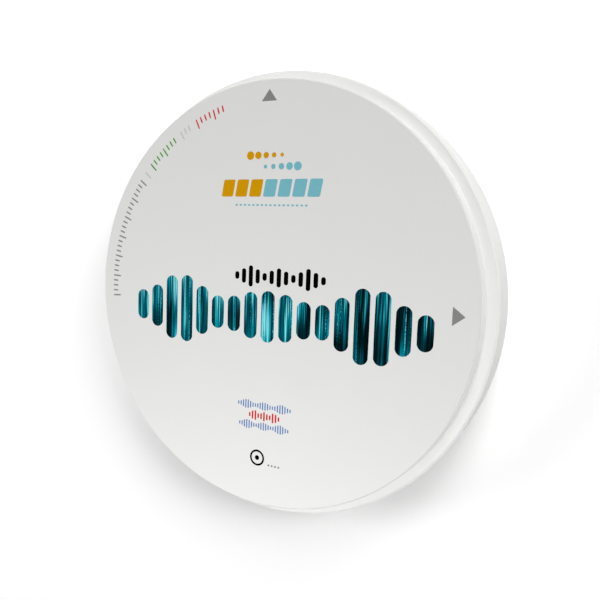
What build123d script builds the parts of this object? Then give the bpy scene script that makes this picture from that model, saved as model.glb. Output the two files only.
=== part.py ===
from build123d import *
import os

# Dental milling disc: a pressed zirconia blank that lies on its back face, with its front face up.
# Every size is in millimetres. The origin is the centre of the back face, and +Z leaves the front face.

# Collar, the band round the middle that the mill's holder grips
collar_diameter = 98.5
collar_thickness = 10.0
collar_edge_chamfer = 0.4

# Plateaus, the raised round faces on both sides of the collar, each set in by a ledge
ledge_width = 2.5
front_step_height = 4.0
back_step_height = 4.0
plateau_edge_chamfer = 0.3

# Inside corner where each plateau's wall meets its ledge
step_root_radius = 0.4

# Places that follow from those sizes
collar_radius = collar_diameter / 2
plateau_radius = collar_radius - ledge_width
back_ledge_height = back_step_height
front_ledge_height = back_ledge_height + collar_thickness
disc_thickness = front_ledge_height + front_step_height

os.makedirs("parts", exist_ok=True)

# The whole disc is one turned solid, so one half section is drawn and spun about the disc's axis.
with BuildPart() as milling_disc:
    with BuildSketch(Plane.XZ):
        with BuildLine():
            Polyline(
                (0, 0),
                (plateau_radius, 0),
                (plateau_radius, back_ledge_height),
                (collar_radius, back_ledge_height),
                (collar_radius, front_ledge_height),
                (plateau_radius, front_ledge_height),
                (plateau_radius, disc_thickness),
                (0, disc_thickness),
                close=True,
            )
        make_face()
    revolve(axis=Axis.Z)

    # The disc's round edges fall into two sizes: four on the plateaus and two on the collar
    round_edges = milling_disc.edges().filter_by(GeomType.CIRCLE).group_by(SortBy.RADIUS)
    back_edge, back_root, front_root, front_edge = round_edges[0].sort_by(Axis.Z)
    fillet([back_root, front_root], radius=step_root_radius)
    chamfer([back_edge, front_edge], length=plateau_edge_chamfer)
    chamfer(round_edges[-1], length=collar_edge_chamfer)

milling_disc.part.label = "milling_disc"
export_step(milling_disc.part, "parts/milling_disc.step")
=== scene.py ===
# Dental milling disc: its chalky finish, its generic printed marks, the light and the camera.
# Places are in metres in the CAD frame. Prints and finishes are sized in millimetres.
from math import cos, pi, radians, sin

import bmesh
import bpy
from mathutils import Matrix, Vector


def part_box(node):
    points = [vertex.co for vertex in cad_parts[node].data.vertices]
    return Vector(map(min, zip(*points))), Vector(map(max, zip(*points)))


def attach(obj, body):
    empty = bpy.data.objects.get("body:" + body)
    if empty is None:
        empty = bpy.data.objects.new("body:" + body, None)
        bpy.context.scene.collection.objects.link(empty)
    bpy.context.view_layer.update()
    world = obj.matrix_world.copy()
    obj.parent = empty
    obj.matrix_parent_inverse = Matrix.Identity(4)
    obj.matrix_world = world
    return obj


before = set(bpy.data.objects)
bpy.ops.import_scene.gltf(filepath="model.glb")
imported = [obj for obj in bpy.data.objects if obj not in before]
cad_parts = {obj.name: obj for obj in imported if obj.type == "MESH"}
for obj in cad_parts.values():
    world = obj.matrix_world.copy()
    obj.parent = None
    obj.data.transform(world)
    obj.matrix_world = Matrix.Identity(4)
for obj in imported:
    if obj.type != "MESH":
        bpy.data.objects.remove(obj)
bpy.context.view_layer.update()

mm = 0.001
discNode = "milling_disc"
discBody = "root"
discLow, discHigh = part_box(discNode)
faceHeight = discHigh.z                 # the front face, which carries the prints
scene = bpy.context.scene
print("frame loaded, front face at", round(faceHeight / mm, 2), "mm")


# Shader maths

class Wire:
    # wraps one output socket, so that maths on it reads as plain Python
    def __init__(self, finish, socket):
        self.finish = finish
        self.socket = socket

    def maths(self, operation, first, second=0.0):
        return self.finish.node("ShaderNodeMath", {"operation": operation}, {0: first, 1: second})

    def __add__(self, other):
        return self.maths("ADD", self, other)

    __radd__ = __add__

    def __sub__(self, other):
        return self.maths("SUBTRACT", self, other)

    def __rsub__(self, other):
        return self.maths("SUBTRACT", other, self)

    def __mul__(self, other):
        return self.maths("MULTIPLY", self, other)

    __rmul__ = __mul__

    def __truediv__(self, other):
        return self.maths("DIVIDE", self, other)

    def __rtruediv__(self, other):
        return self.maths("DIVIDE", other, self)

    def __pow__(self, other):
        return self.maths("POWER", self, other)

    def __rpow__(self, other):
        return self.maths("POWER", other, self)

    def size(self):
        return self.maths("ABSOLUTE", self)

    def swing(self, amount):
        # a pattern that runs from 0 to 1 made one that swings round 0, by amount from end to end
        return (self - 0.5) * amount

    def ramp(self, low, high):
        # 0 below low, 1 above high, smooth between them
        return self.finish.node(
            "ShaderNodeMapRange",
            {"interpolation_type": "SMOOTHSTEP"},
            {"Value": self, "From Min": low, "From Max": high},
        )


class Finish:
    # a material, or the world, under construction
    def __init__(self, name, kind="Material"):
        shelf = bpy.data.worlds if kind == "World" else bpy.data.materials
        self.made = shelf.new(name)
        self.made.use_nodes = True
        self.tree = self.made.node_tree
        self.tree.nodes.clear()
        self.surface = self.tree.nodes.new("ShaderNodeOutput" + kind).inputs["Surface"]

    def node(self, kind, settings=None, inputs=None, output=0):
        made = self.tree.nodes.new(kind)
        for key, value in (settings or {}).items():
            if key == "stops":
                self.setStops(made.color_ramp, value)
            else:
                setattr(made, key, value)
        for key, value in (inputs or {}).items():
            if isinstance(value, Wire):
                self.tree.links.new(value.socket, made.inputs[key])
            else:
                made.inputs[key].default_value = value
        return Wire(self, made.outputs[output])

    def setStops(self, ramp, stops):
        while len(ramp.elements) < len(stops):
            ramp.elements.new(1.0)
        for element, (position, tone) in zip(ramp.elements, stops):
            element.position = position
            element.color = tone

    def place(self):
        # the point on the object, in millimetres
        point = self.node("ShaderNodeTexCoord", output="Object")
        return self.node("ShaderNodeVectorMath", {"operation": "SCALE"}, {0: point, "Scale": 1 / mm})

    def axes(self, point, names="XYZ"):
        return [self.node("ShaderNodeSeparateXYZ", None, {0: point}, output=name) for name in names]

    def noise(self, point, perMm, detail=2.0, roughness=0.5):
        # perMm is one number, or one for each axis where the pattern is drawn out into streaks
        if isinstance(perMm, tuple):
            point = self.node("ShaderNodeVectorMath", {"operation": "MULTIPLY"}, {0: point, 1: perMm})
            perMm = 1.0
        sockets = {"Vector": point, "Scale": perMm, "Detail": detail, "Roughness": roughness}
        return self.node("ShaderNodeTexNoise", {"noise_dimensions": "3D"}, sockets)

    def blend(self, factor, low, high, mode="MIX"):
        return self.node(
            "ShaderNodeMix",
            {"data_type": "RGBA", "blend_type": mode},
            {0: factor, 6: low, 7: high},
            output=2,
        )

    def shaded(self, tone, amount):
        # a colour made lighter or darker by a number that varies over the surface
        shade = self.node("ShaderNodeCombineXYZ", None, {0: amount, 1: amount, 2: amount})
        return self.blend(1.0, tone, shade, "MULTIPLY")

    def bump(self, height, distance, strength):
        sockets = {"Height": height, "Distance": distance, "Strength": strength}
        return self.node("ShaderNodeBump", None, sockets)

    def seenRays(self):
        # 1 for the rays that show a backdrop: the camera's, a reflection's or those through glass
        kinds = ("Camera", "Glossy", "Transmission")
        camera, glossy, through = [
            self.node("ShaderNodeLightPath", output="Is " + kind + " Ray") for kind in kinds
        ]
        return camera + glossy + through

    def finish(self, shader):
        self.tree.links.new(shader.socket, self.surface)
        return self.made

    def principled(self, inputs):
        return self.finish(self.node("ShaderNodeBsdfPrincipled", None, inputs))


def distance(across, along):
    return (across * across + along * along) ** 0.5


def colour(red, green, blue):
    # screen values from 0 to 255, made linear
    def linear(value):
        value = value / 255
        return value / 12.92 if value <= 0.04045 else ((value + 0.055) / 1.055) ** 2.4
    return (linear(red), linear(green), linear(blue), 1.0)


def grey(value):
    # a linear value, where 1 is white
    return (value, value, value, 1.0)


# Zirconia

zirconia = {
    "face": colour(231, 231, 229),      # painted shade: the faces a shade greyer than the flanks, of one zirconia
    "flank": colour(248, 248, 246),
    "toneChange": (0.35, 0.105),        # mm below a face, where the flank's tone ends and the face's begins
    "patches": {"perMm": 0.09, "detail": 3.0},
    "patchTone": 0.03,
    "patchRoughness": 0.16,
    "grain": {"perMm": 3.2, "detail": 4.0, "roughness": 0.7},
    "grainTone": 0.035,
    "grainRoughness": 0.1,
    "grainDepth": 0.6,
    # rings left round the flanks by the cutter, with the finer lines of its feed between them
    "rings": {"perMm": 1.8, "detail": 3.0, "roughness": 0.65},
    "ringTone": 0.09,
    "ringDepth": 5.5,
    "feedLines": {"perMm": 5.0},
    "ringsOnLedge": 0.35,               # how many there are to a mm of ledge, against a mm of wall
    "marksOnFace": 0.12,                # how much of them is left on the lapped faces
    # painted shade in the inner corner of each step, darkest at the corner
    "root": (46.75, 4.0),               # mm from the axis and below the face
    "cornerShadeReach": (0.1, 0.7),            # mm from the corner over which the painted shade thins out
    "cornerShadeTone": 0.05,
    "roughness": 0.62,
    "specular": 0.35,
    "bump": {"distance": 0.012 * mm, "strength": 0.6},
}


def zirconiaFinish():
    look = zirconia
    chalk = Finish("chalky_zirconia")
    point = chalk.place()
    x, y, height = chalk.axes(point)
    radius = distance(x, y)
    middle = (discHigh.z + discLow.z) / 2 / mm
    halfThickness = (discHigh.z - discLow.z) / 2 / mm
    fromMiddle = (height - middle).size()
    flankEnds, faceBegins = look["toneChange"]
    onFace = fromMiddle.ramp(halfThickness - flankEnds, halfThickness - faceBegins)

    # turning marks run round the flanks, and much fainter lapping marks round the faces
    turned = 1 - onFace * (1 - look["marksOnFace"])
    section = chalk.node("ShaderNodeCombineXYZ", None, {0: radius * look["ringsOnLedge"], 1: height})
    rings = chalk.noise(section, **look["rings"])
    feedLines = chalk.noise(section, **look["feedLines"])

    rootRadius, rootDepth = look["root"]
    fromRoot = distance(radius - rootRadius, fromMiddle - (halfThickness - rootDepth))
    # painted shade: the colour darkens towards the inner corner of each step
    cornerShade = 1 - fromRoot.ramp(*look["cornerShadeReach"])

    patches = chalk.noise(point, **look["patches"])
    grain = chalk.noise(point, **look["grain"])
    tone = 1 + patches.swing(look["patchTone"]) + grain.swing(look["grainTone"])
    # the painted corner shade is taken off the tone here
    tone += rings.swing(look["ringTone"]) * turned - cornerShade * look["cornerShadeTone"]
    unevenness = patches.swing(look["patchRoughness"]) + grain.swing(look["grainRoughness"])
    relief = grain * look["grainDepth"] + (rings * look["ringDepth"] + feedLines) * turned
    return chalk.principled({
        # the faces take the greyer tone, painted shade against the flanks
        "Base Color": chalk.shaded(chalk.blend(onFace, look["flank"], look["face"]), tone),
        "Roughness": look["roughness"] + unevenness,
        "Specular IOR Level": look["specular"],
        "Normal": chalk.bump(relief, **look["bump"]),
    })


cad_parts[discNode].data.materials.clear()
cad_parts[discNode].data.materials.append(zirconiaFinish())
print("zirconia finish done")


# Prints: thin layers of ink on the front face. Each shape starts flat, in millimetres from the disc's axis,
# and inkPiece() gives the whole group its thickness, its place and its finish.

inkLayer = {
    "thickness": 0.03,
    "sunk": 0.01,                       # how far its underside lies in the face
    "shoulder": 0.012,                  # rounding of its upper edges
}


def disk(bm, x, y, radius, segments=24):
    verts = bmesh.ops.create_circle(bm, cap_ends=True, segments=segments, radius=radius)["verts"]
    bmesh.ops.translate(bm, verts=verts, vec=(x, y, 0))


def pill(bm, x, y, width, height, segments, turn=0.0):
    # a circle pulled apart into a bar with round ends; corners on its middle line stay there
    radius = min(width, height) / 2
    verts = bmesh.ops.create_circle(bm, cap_ends=True, segments=segments, radius=radius)["verts"]
    pull = Vector((max(width - height, 0), max(height - width, 0), 0)) / 2
    tiny = 1e-9
    for side in (-1, 1):
        half = [v for v in verts if v.co.dot(pull) * side > tiny]
        bmesh.ops.translate(bm, verts=half, vec=pull * side)
    put = Matrix.Translation((x, y, 0)) @ Matrix.Rotation(turn, 4, "Z")
    bmesh.ops.transform(bm, verts=verts, matrix=put)


def inkPiece(name, bm, material):
    layer = inkLayer
    raised = bmesh.ops.extrude_face_region(bm, geom=bm.faces[:])["geom"]
    top = [v for v in raised if isinstance(v, bmesh.types.BMVert)]
    bmesh.ops.translate(bm, verts=top, vec=(0, 0, layer["thickness"]))
    rims = [e for e in bm.edges if all(v.co.z > layer["thickness"] / 2 for v in e.verts)]
    bmesh.ops.bevel(
        bm, geom=rims, offset=layer["shoulder"], affect="EDGES", segments=2, profile=0.5, material=-1,
    )
    place = Matrix.Translation((0, 0, faceHeight - layer["sunk"] * mm)) @ Matrix.Scale(mm, 4)
    bmesh.ops.transform(bm, verts=bm.verts, matrix=place)
    bmesh.ops.recalc_face_normals(bm, faces=bm.faces)
    mesh = bpy.data.meshes.new(name)
    bm.to_mesh(mesh)
    bm.free()
    mesh.materials.append(material)
    piece = bpy.data.objects.new(name, mesh)
    scene.collection.objects.link(piece)
    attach(piece, discBody)


ink = {
    "clouds": {"perMm": 0.9, "detail": 3.0},
    "cloudTone": 0.14,
    "cloudRoughness": 0.2,
    "grain": {"perMm": 4.5, "detail": 3.0, "roughness": 0.7},
    "pinholes": (0.69, 0.78),           # a pinhole opens between these heights of the grain
    "pinholeShow": 0.35,                # how much of the pale ground shows in it
    "roughness": 0.55,
    "specular": 0.0,
    "bump": {"distance": 0.004 * mm, "strength": 0.5},
}


def soaked(stain, look, grain, body, unevenness):
    # ink soaked into a porous face, with pinholes where the grain shows through
    pinholes = grain.ramp(*look["pinholes"]) * look["pinholeShow"]
    return stain.principled({
        "Base Color": stain.blend(pinholes, body, zirconia["face"]),
        "Roughness": look["roughness"] + unevenness,
        "Specular IOR Level": ink["specular"],
        "Normal": stain.bump(grain, **ink["bump"]),
    })


def inkFinish(name, tone):
    stain = Finish(name)
    point = stain.place()
    clouds = stain.noise(point, **ink["clouds"])
    grain = stain.noise(point, **ink["grain"])
    body = stain.shaded(tone, 1 + clouds.swing(ink["cloudTone"]))
    return soaked(stain, ink, grain, body, clouds.swing(ink["cloudRoughness"]))


greyInk = inkFinish("grey_ink", colour(140, 141, 138))
paleInk = inkFinish("pale_grey_ink", colour(206, 207, 204))
blackInk = inkFinish("black_ink", colour(4, 4, 4))
orangeInk = inkFinish("orange_ink", colour(217, 157, 4))
skyInk = inkFinish("sky_blue_ink", colour(123, 190, 203))
blueInk = inkFinish("blue_ink", colour(82, 124, 188))
redInk = inkFinish("red_ink", colour(214, 42, 44))
greenInk = inkFinish("green_ink", colour(78, 162, 38))
print("ink finishes done")


# Two arrows that say which way round the disc goes into the holder

arrows = {
    "height": 2.45,
    "halfWidth": 1.84,
    "marks": [                          # place, and turn in degrees
        ((0.2, 43.35), 0),
        ((42.55, 0.05), -90),
    ],
}


def arrow(bm, place, turn):
    # the equal-sided triangle in a circle of radius 1, a corner up, is centred and stretched
    plainHeight = 1 + cos(pi / 3)
    plainHalfWidth = sin(pi / 3)
    verts = bmesh.ops.create_circle(bm, cap_ends=True, segments=3, radius=1.0)["verts"]
    bmesh.ops.translate(bm, verts=verts, vec=(0, plainHeight / 2 - 1, 0))
    stretch = Matrix.Diagonal((arrows["halfWidth"] / plainHalfWidth, arrows["height"] / plainHeight, 1, 1))
    put = Matrix.Translation((*place, 0)) @ Matrix.Rotation(radians(turn), 4, "Z") @ stretch
    bmesh.ops.transform(bm, verts=verts, matrix=put)


bm = bmesh.new()
for place, turn in arrows["marks"]:
    arrow(bm, place, turn)
inkPiece("print_arrows", bm, greyInk)


# The wide teal band: a row of round-ended bars that swells and sinks, filled with upright streaks of light

waveBars = {
    "count": 17,
    "left": -33.8,
    "right": 36.4,
    "middle": -3.8,
    "width": 3.35,
    "low": 7.2,
    "high": 16.4,
    "centreSwell": 0.45,                # how high the middle swell rises against the outer two
}


def barHeight(row, part):
    # three swells along the row, from part 0 to part 1
    swell = sin(3 * pi * part) ** 2
    swell *= 1 - (1 - row["centreSwell"]) * sin(pi * part) ** 4
    return row["low"] + (row["high"] - row["low"]) * swell


def barRow(bm, row, segments=28):
    for bar in range(row["count"]):
        part = bar / (row["count"] - 1)
        x = row["left"] + (row["right"] - row["left"]) * part
        pill(bm, x, row["middle"], row["width"], barHeight(row, part), segments)


streaks = {
    "ramp": [                           # from the dark ground to the brightest lines
        (0.00, colour(0, 18, 21)),
        (0.20, colour(1, 40, 46)),
        (0.42, colour(0, 76, 88)),
        (0.64, colour(0, 128, 146)),
        (0.84, colour(24, 168, 187)),
        (1.00, colour(140, 232, 236)),
    ],
    "level": 0.31,
    "fade": 0.40,                       # how much darker the right end is than the left
    "glowAt": 0.44,                     # the brightest part of the row
    "glowReach": (0.04, 0.30),          # parts of the row over which the glow dies away
    "glowLight": 0.14,
    "broad": {"perMm": (0.20, 0.08, 0.0), "detail": 1.0},
    "broadLight": 1.7,
    "columns": {"perMm": (0.95, 0.02, 0.0), "detail": 2.0},
    "columnLight": 1.8,
    "hairs": {"perMm": (2.7, 0.03, 0.0), "detail": 2.0, "roughness": 0.6},
    "hairEdges": (0.40, 0.60),
    "hairLight": 0.26,
    # beams that hang from the top of the row, each down to its own foot
    "beamEdges": (0.47, 0.56),
    "beamLight": 0.38,
    "feet": {"perMm": (0.75, 0.0, 0.0), "detail": 0.0},
    "feetSpread": 34,                   # mm
    "footFade": (-0.4, 3.0),            # mm above the foot over which a beam comes in
    # thin dotted lines of light
    "lines": {"perMm": (3.1, 0.0, 0.0), "detail": 0.0},
    "lineEdges": (0.68, 0.73),
    "lineLight": 0.5,
    "dashes": {"perMm": (0.9, 3.4, 0.0), "detail": 1.0},
    "dashEdges": (0.44, 0.56),
    "pinholes": (0.70, 0.78),
    "pinholeShow": 0.12,
    "roughness": 0.5,
    "grainRoughness": 0.2,
}


def streakFinish():
    look = streaks
    teal = Finish("teal_streak_ink")
    point = teal.place()
    x, y = teal.axes(point, "XY")
    along = (x - waveBars["left"]) / (waveBars["right"] - waveBars["left"])
    fromGlow = (along - look["glowAt"]).size()
    light = look["level"] - along.swing(look["fade"])
    light += (1 - fromGlow.ramp(*look["glowReach"])) * look["glowLight"]

    hairs = teal.noise(point, **look["hairs"])
    light += teal.noise(point, **look["broad"]).swing(look["broadLight"])
    light += teal.noise(point, **look["columns"]).swing(look["columnLight"])
    light += hairs.ramp(*look["hairEdges"]).swing(look["hairLight"])

    foot = teal.noise(point, **look["feet"]).swing(look["feetSpread"])
    overFoot = (y - waveBars["middle"] - foot).ramp(*look["footFade"])
    light += hairs.ramp(*look["beamEdges"]) * overFoot * look["beamLight"]

    lines = teal.noise(point, **look["lines"]).ramp(*look["lineEdges"])
    dashes = teal.noise(point, **look["dashes"]).ramp(*look["dashEdges"])
    light += lines * dashes * look["lineLight"]

    body = teal.node("ShaderNodeValToRGB", {"stops": look["ramp"]}, {"Fac": light})
    grain = teal.noise(point, **ink["grain"])
    return soaked(teal, look, grain, body, grain.swing(look["grainRoughness"]))


bm = bmesh.new()
barRow(bm, waveBars)
inkPiece("print_wave_bars", bm, streakFinish())


# The small black row above it

blackBars = {
    "count": 13,
    "left": -6.8,
    "right": 14.4,
    "middle": 4.9,
    "width": 1.08,
    "low": 1.7,
    "high": 4.7,
    "centreSwell": 0.8,
}
bm = bmesh.new()
barRow(bm, blackBars)
inkPiece("print_black_bars", bm, blackInk)


# Two colours side by side near the top: graded dots over a row of slanted tiles, and a dotted line below

tiles = {
    "left": -9.6,
    "pitch": 3.55,
    "y": 24.0,
    "width": 2.95,
    "height": 3.7,
    "lean": 0.18,                       # to the right, as a share of the height
    "corner": 0.35,
    "orange": 3,                        # tiles of each colour
    "sky": 4,
}
dots = {
    "count": 5,
    "pitch": 1.95,
    "large": 0.92,                      # radii at the two ends of a row
    "small": 0.42,
    "orange": (-4.1, 30.9),             # where each colour's row starts
    "sky": (-0.3, 28.5),
}
finePills = {"count": 17, "left": -7.4, "right": 9.8, "y": 20.35, "width": 0.62, "height": 0.4}


def tileRow(bm, first, count):
    width, height = tiles["width"], tiles["height"]
    for step in range(first, first + count):
        slant = Matrix((
            (width, height * tiles["lean"], 0, tiles["left"] + tiles["pitch"] * step),
            (0, height, 0, tiles["y"]),
            (0, 0, 1, 0),
            (0, 0, 0, 1),
        ))
        verts = bmesh.ops.create_grid(bm, x_segments=1, y_segments=1, size=0.5)["verts"]
        bmesh.ops.transform(bm, verts=verts, matrix=slant)
        bmesh.ops.bevel(
            bm, geom=verts, offset=tiles["corner"], affect="VERTICES", segments=4, profile=0.5, material=-1,
        )


def dotRow(bm, start, firstRadius, lastRadius):
    for step in range(dots["count"]):
        part = step / (dots["count"] - 1)
        radius = firstRadius + (lastRadius - firstRadius) * part
        disk(bm, start[0] + dots["pitch"] * step, start[1], radius)


def finePillRow(bm):
    for step in range(finePills["count"]):
        x = finePills["left"] + (finePills["right"] - finePills["left"]) * step / (finePills["count"] - 1)
        pill(bm, x, finePills["y"], finePills["width"], finePills["height"], segments=12)


bm = bmesh.new()
tileRow(bm, 0, tiles["orange"])
dotRow(bm, dots["orange"], dots["large"], dots["small"])
inkPiece("print_orange_shapes", bm, orangeInk)

bm = bmesh.new()
tileRow(bm, tiles["orange"], tiles["sky"])
dotRow(bm, dots["sky"], dots["small"], dots["large"])
finePillRow(bm)
inkPiece("print_sky_shapes", bm, skyInk)


# Three fine rows of the same kind below the middle, blue, red and blue

fineRows = {
    "blue": {
        "ink": blueInk,
        "bar": {"width": 0.3, "low": 0.8, "high": 2.1, "centreSwell": 0.8},
        "rows": [
            {"count": 22, "left": -5.6, "right": 7.6, "middle": -23.9},
            {"count": 21, "left": -5.2, "right": 7.2, "middle": -28.5},
        ],
    },
    "red": {
        "ink": redInk,
        "bar": {"width": 0.42, "low": 1.0, "high": 2.4, "centreSwell": 0.8},
        "rows": [
            {"count": 11, "left": -2.6, "right": 4.8, "middle": -26.2},
        ],
    },
}
for shade, values in fineRows.items():
    bm = bmesh.new()
    for row in values["rows"]:
        barRow(bm, {**values["bar"], **row}, segments=10)
    inkPiece("print_" + shade + "_rows", bm, values["ink"])


# A plain ring and dot near the lower edge, with small grey dots beside it

ringMark = {"x": -0.4, "y": -35.9, "outer": 1.85, "inner": 1.4, "dot": 0.55}
ringDots = {
    "count": 4,
    "radius": 0.24,
    "pitch": 0.85,
    "right": 3.0,                       # from the ring's centre to the first dot
    "below": 1.2,
}

bm = bmesh.new()
for radius in (ringMark["outer"], ringMark["inner"]):
    bmesh.ops.create_circle(bm, cap_ends=False, segments=40, radius=radius)
bmesh.ops.translate(bm, verts=bm.verts, vec=(ringMark["x"], ringMark["y"], 0))
bmesh.ops.bridge_loops(bm, edges=bm.edges[:])
disk(bm, ringMark["x"], ringMark["y"], ringMark["dot"])
inkPiece("print_ring", bm, blackInk)

bm = bmesh.new()
for step in range(ringDots["count"]):
    x = ringMark["x"] + ringDots["right"] + ringDots["pitch"] * step
    disk(bm, x, ringMark["y"] - ringDots["below"], ringDots["radius"], segments=12)
inkPiece("print_ring_dots", bm, greyInk)


# A scale of ticks along the rim, in four colours

rimTicks = {
    "radius": 42.4,
    "length": 2.3,
    "shortLength": 1.5,
    "longEvery": 4,
    "width": 0.36,
    "pitch": 1.65,                      # degrees
    "sections": [                       # name, finish, first and last angle in degrees
        ("grey", greyInk, 183.0, 143.5),
        ("green", greenInk, 137.0, 125.5),
        ("pale", paleInk, 122.2, 118.9),
        ("red", redInk, 115.6, 105.7),
    ],
    "divider": 140.3,                   # one pale tick between grey and green
}


def rimTick(bm, degrees, length):
    # a short tick ends at the same outer radius as a long one
    angle = radians(degrees)
    middle = rimTicks["radius"] + (rimTicks["length"] - length) / 2
    pill(bm, middle * cos(angle), middle * sin(angle), length, rimTicks["width"], segments=12, turn=angle)


for name, material, first, last in rimTicks["sections"]:
    bm = bmesh.new()
    for step in range(round((first - last) / rimTicks["pitch"]) + 1):
        isLong = step % rimTicks["longEvery"] == 0
        rimTick(bm, first - step * rimTicks["pitch"], rimTicks["length" if isLong else "shortLength"])
    if name == "pale":
        rimTick(bm, rimTicks["divider"], rimTicks["length"])
    inkPiece("print_rim_" + name, bm, material)


# Camera, at the angle from which the disc is seen

cameraView = {
    "place": Vector((67.3, 14.34, 131.59)) * mm,
    "lookAt": Vector((9.09, 0.56, 18.0)) * mm,
    "roll": 1.985,                      # degrees, the disc's +Y axis leans by this in the picture
    "lens": 36.4,
    "nearest": 5 * mm,                  # the view begins this far from the camera
}


def addCamera():
    view = cameraView
    sight = (view["lookAt"] - view["place"]).normalized()
    side = sight.cross(Vector((0, 1, 0))).normalized()
    turn = Matrix((side, side.cross(sight), -sight)).transposed().to_4x4()
    roll = Matrix.Rotation(radians(view["roll"]), 4, "Z")
    data = bpy.data.cameras.new("disc_camera")
    data.lens = view["lens"]
    data.clip_start = view["nearest"]
    camera = bpy.data.objects.new("disc_camera", data)
    camera.matrix_world = Matrix.Translation(view["place"]) @ turn @ roll
    scene.collection.objects.link(camera)
    scene.camera = camera


addCamera()


# Light: softboxes to the right, behind, high behind and to the left, and a small lamp over the lower edge

softbox = {"aim": (0, 0, 0.01), "size": (0.6, 0.6)}
lampRig = {
    "right": {**softbox, "from": (1.18, 0.55, 0.76), "watts": 8.4},
    "back": {**softbox, "from": (0.34, 1.26, 0.76), "watts": 4.55},
    "highBack": {**softbox, "from": (0.24, 0.89, 1.19), "watts": 4.05},
    "left": {**softbox, "from": (-1.30, 0, 0.76), "watts": 6.1},
    "near": {"from": (0, -0.115, 0.115), "aim": (0, -0.05, 0.018), "size": (0.14, 0.05), "watts": 0.094},
}


def addLamp(name, values):
    data = bpy.data.lights.new(name, "AREA")
    data.shape = "RECTANGLE"
    data.size, data.size_y = values["size"]
    data.energy = values["watts"]
    lamp = bpy.data.objects.new(name, data)
    place = Vector(values["from"])
    turn = (Vector(values["aim"]) - place).to_track_quat("-Z", "Y")
    lamp.matrix_world = Matrix.Translation(place) @ turn.to_matrix().to_4x4()
    lamp.visible_camera = False
    scene.collection.objects.link(lamp)
    return lamp


lamps = {name: addLamp(name, values) for name, values in lampRig.items()}


# Room and floor: pale where they light the disc, white for the rays that show them

room = {"light": 0.12, "seen": 1.0}
floorPaper = {
    "halfWidth": 2.0,
    "light": 0.87,
    "seen": 1.64,                       # over 1, because the lamps alone leave the paper grey
    "whiteFrom": 0.10,                  # metres from the axis, where the paper starts to turn plain white
    "whiteTo": 0.24,                    # and where it is so
}


def addRoom():
    air = Finish("pale_room", "World")
    strength = room["light"] + air.seenRays() * (room["seen"] - room["light"])
    glow = air.node("ShaderNodeBackground", None, {"Color": grey(1.0), "Strength": strength})
    scene.world = air.finish(glow)


def floorFinish():
    # paper that holds the shadow round the disc and runs out into plain white
    paper = Finish("floor_paper")
    x, y = paper.axes(paper.node("ShaderNodeTexCoord", output="Object"), "XY")
    away = distance(x, y).ramp(floorPaper["whiteFrom"], floorPaper["whiteTo"])
    seen = paper.seenRays()
    tone = paper.blend(seen, grey(floorPaper["light"]), grey(floorPaper["seen"]))
    matt = paper.node("ShaderNodeBsdfDiffuse", None, {"Color": tone})
    plain = paper.node("ShaderNodeEmission", None, {"Color": grey(1.0), "Strength": 1.0})
    return paper.finish(paper.node("ShaderNodeMixShader", None, {0: seen * away, 1: matt, 2: plain}))


def addFloor():
    bm = bmesh.new()
    bmesh.ops.create_grid(bm, x_segments=1, y_segments=1, size=floorPaper["halfWidth"])
    bmesh.ops.translate(bm, verts=bm.verts, vec=(0, 0, discLow.z))
    mesh = bpy.data.meshes.new("floor")
    bm.to_mesh(mesh)
    bm.free()
    mesh.materials.append(floorFinish())
    floor = bpy.data.objects.new("floor", mesh)
    scene.collection.objects.link(floor)
    return floor


def keepOff(lamp, surface):
    # the lamp lights everything but this surface, so that the surface keeps its shadow
    skipped = bpy.data.collections.new(lamp.name + "_skips")
    skipped.objects.link(surface)
    skipped.collection_objects[0].light_linking.link_state = "EXCLUDE"
    lamp.light_linking.receiver_collection = skipped


addRoom()
keepOff(lamps["near"], addFloor())
scene.view_settings.view_transform = "Standard"
print("camera, light and floor done")
